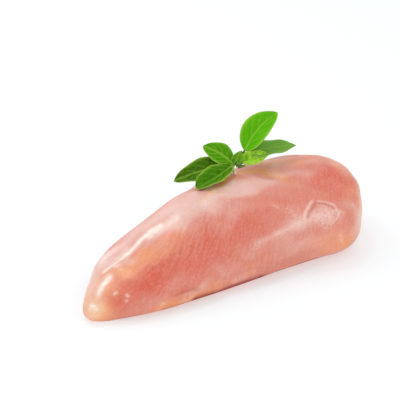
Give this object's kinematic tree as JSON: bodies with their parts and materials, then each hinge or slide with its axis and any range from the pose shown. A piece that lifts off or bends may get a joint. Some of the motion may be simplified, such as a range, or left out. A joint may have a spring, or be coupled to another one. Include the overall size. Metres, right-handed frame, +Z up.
{
  "type": "raw chicken breast",
  "caption": "Raw boned skinless chicken breast, thick and round at one end, tapering to a blunt tip, pressed flat below, with a leafy herb sprig lying on its crown.",
  "frame": {"origin": "under the middle of the breast, on the surface that it lies on", "axes": "+X along the breast from its thin tip to its thick end, -Y its near side, +Z up"},
  "size_m": [0.174, 0.0838, 0.064],
  "materials": {
    "raw_flesh": "moist raw meat, pale pink to orange red, glossy where it is wet",
    "herb_leaf": "fresh soft green leaf, satin, with paler veins"
  },
  "bodies": {
    "root": {"chicken_breast": "raw_flesh", "herb_sprig": "herb_leaf"}
  },
  "joints": []
}
